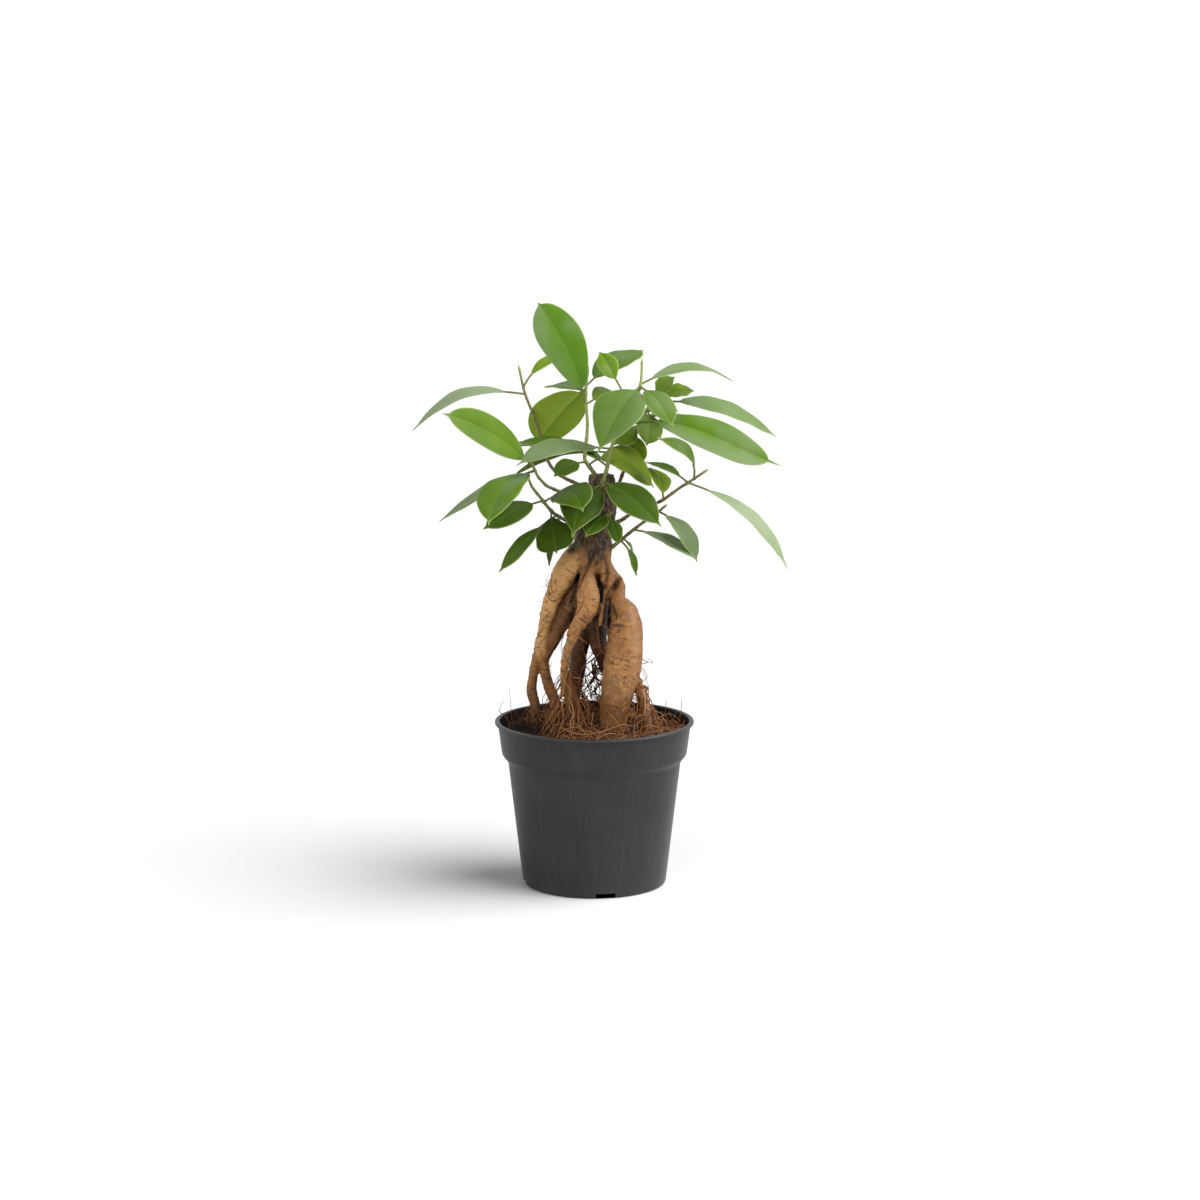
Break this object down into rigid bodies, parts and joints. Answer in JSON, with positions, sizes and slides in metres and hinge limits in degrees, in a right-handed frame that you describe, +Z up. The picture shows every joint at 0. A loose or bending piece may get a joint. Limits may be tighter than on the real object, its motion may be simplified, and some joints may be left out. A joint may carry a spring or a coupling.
{
  "type": "potted ginseng ficus",
  "caption": "Ginseng ficus with swollen stilt-like roots, a short cut trunk and glossy oval leaves on thin twigs, in a tapered charcoal nursery pot with a collar.",
  "frame": {"origin": "centre of the pot's foot, on the surface it stands on, within 1 mm of the middle of the object's box from above", "axes": "+Z up through the pot and trunk, -Y towards the side that the picture shows, +X to its right"},
  "size_m": [0.2236, 0.1605, 0.3512],
  "materials": {
    "pot_plastic": "satin moulded plastic",
    "coir_soil": "rough reddish coir fibres",
    "root_bark": "smooth tan root bark with fine cross cracks",
    "foliage": "glossy green leaf with a pale edge"
  },
  "bodies": {
    "root": {"pot": "pot_plastic", "soil": "coir_soil", "trunk": "root_bark", "shoot_upper_left": "foliage", "shoot_top": "foliage", "shoot_upper_right": "foliage", "shoot_right": "foliage", "shoot_lower_right": "foliage", "shoot_lower_left": "foliage", "shoot_left": "foliage", "shoot_neck": "foliage", "shoot_back_right": "foliage", "shoot_back": "foliage", "shoot_low_back": "foliage"}
  },
  "joints": []
}
